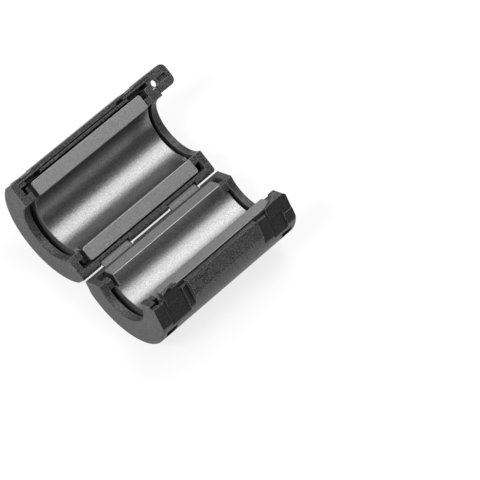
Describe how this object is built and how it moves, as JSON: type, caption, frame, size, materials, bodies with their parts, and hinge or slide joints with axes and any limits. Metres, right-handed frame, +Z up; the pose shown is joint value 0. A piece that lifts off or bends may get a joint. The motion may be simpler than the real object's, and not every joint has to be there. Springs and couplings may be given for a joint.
{
  "type": "clip-on ferrite bead",
  "caption": "Hinged plastic case with a split ferrite core, lying open. It closes round a cable to damp interference and latches with snap hooks and a release bar with a finger tab.",
  "frame": {"origin": "middle of the footprint, on the surface that the open bead lies on", "axes": "+X along the cable towards the finger tab, +Y towards the half with the release bar, +Z up"},
  "size_m": [0.042, 0.0444, 0.0188],
  "materials": {
    "case_plastic": "fine moulded texture",
    "ferrite": "ground, satin"
  },
  "bodies": {
    "keeper": {"keeper_shell": "case_plastic", "keeper_core": "ferrite", "hinge_strap_root_end": "case_plastic", "hinge_strap_tab_end": "case_plastic"},
    "hook": {"hook_shell": "case_plastic", "hook_core": "ferrite"},
    "bar": {"release_bar": "case_plastic"}
  },
  "joints": [
    {"name": "case_hinge", "type": "hinge", "parent": "keeper", "child": "hook", "pos_m": [-0.00265, 0, 0.00633], "axis": [-1, 0, 0], "range_deg": [0, 118], "deforming": ["hinge_strap_root_end", "hinge_strap_tab_end"]},
    {"name": "bar_release", "type": "hinge", "parent": "keeper", "child": "bar", "pos_m": [-0.01945, 0.02014, 0.01843], "axis": [0, -0.515, 0.8572], "range_deg": [0, 4], "stiffness_Nm_per_rad": 0.043}
  ]
}
